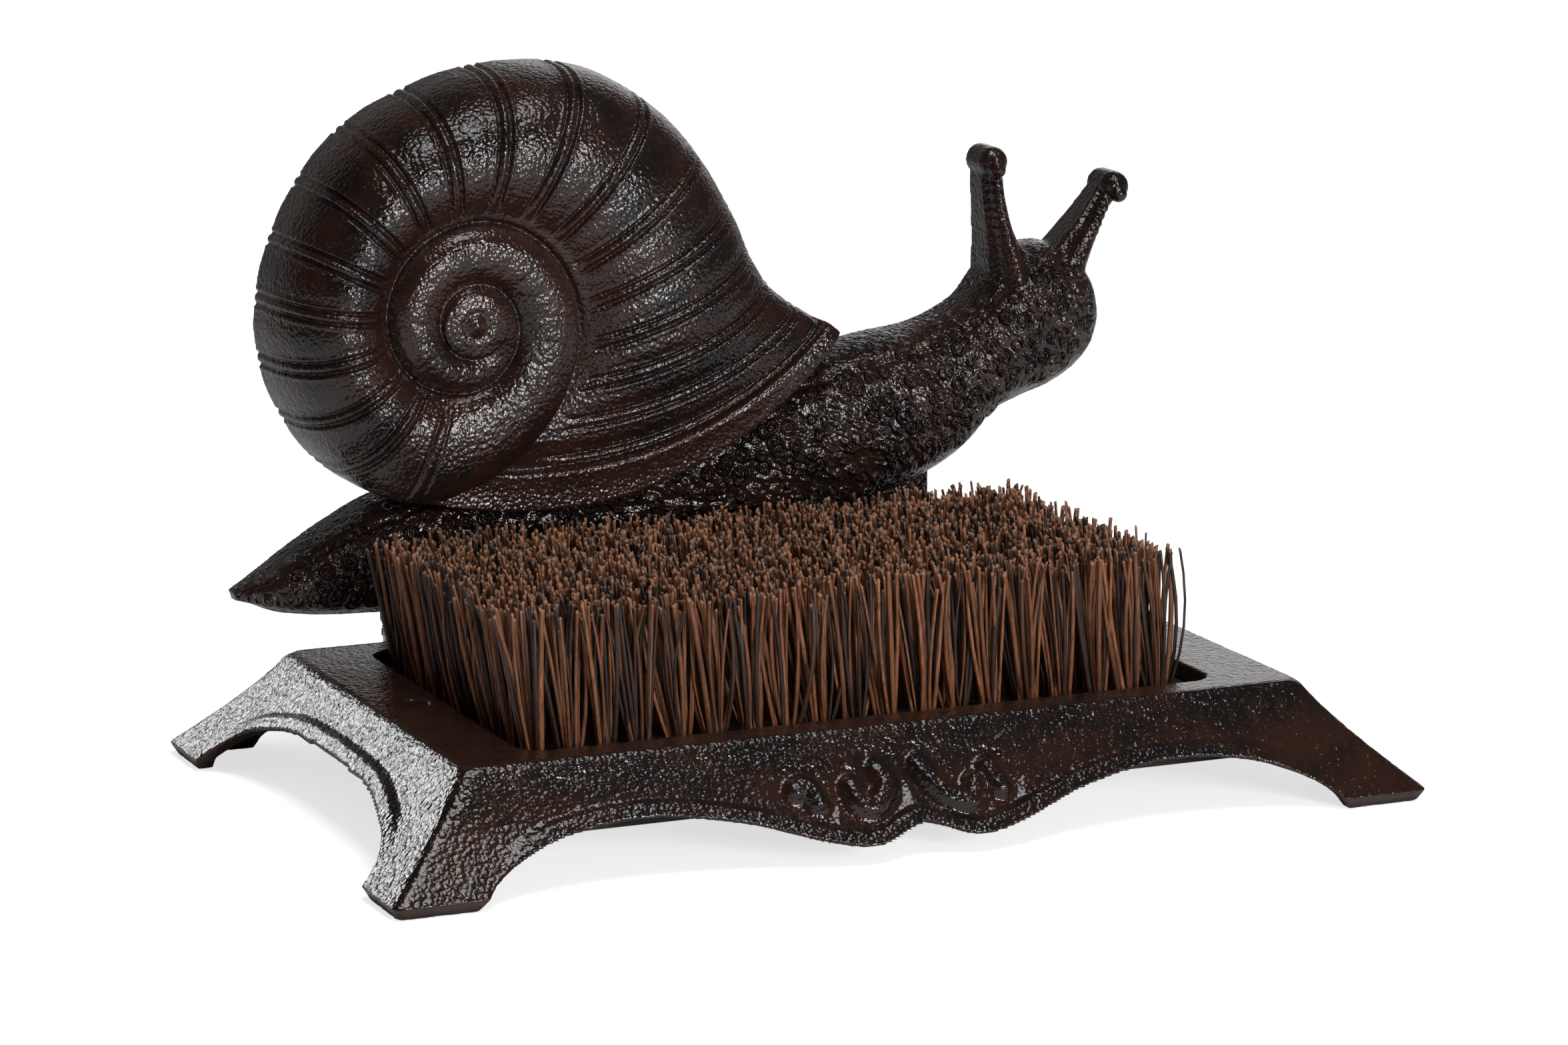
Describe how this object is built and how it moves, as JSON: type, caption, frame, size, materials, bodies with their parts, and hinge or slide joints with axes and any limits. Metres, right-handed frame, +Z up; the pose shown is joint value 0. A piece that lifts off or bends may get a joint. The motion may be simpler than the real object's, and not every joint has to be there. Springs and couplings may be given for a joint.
{
  "type": "boot brush door mat",
  "caption": "Low cast iron frame on four flared feet with a rectangular stiff fibre boot brush and a cast snail standing along its back edge.",
  "frame": {"origin": "on the ground under the middle of the four feet", "axes": "+X along the frame to the snail's head, +Y from the front of the frame to the snail, +Z up"},
  "size_m": [0.3136, 0.2011, 0.2009],
  "materials": {
    "iron": "dark brown lacquered cast iron, semi-gloss, rough from the sand mould",
    "board": "dark stained wood, matt",
    "fibre": "stiff palm fibre, copper brown and near black",
    "steel": "blackened steel fasteners"
  },
  "bodies": {
    "root": {"base_frame": "iron", "snail_figure": "iron", "brush_board": "board", "bristles_1": "fibre", "bristles_2": "fibre", "bristles_3": "fibre", "bristles_4": "fibre", "brush_screw_left": "steel", "brush_screw_right": "steel", "snail_bolt_left": "steel", "snail_bolt_right": "steel", "upper_washer_left": "steel", "upper_washer_right": "steel", "lower_washer_left": "steel", "lower_washer_right": "steel", "snail_nut_left": "steel", "snail_nut_right": "steel"}
  },
  "joints": []
}
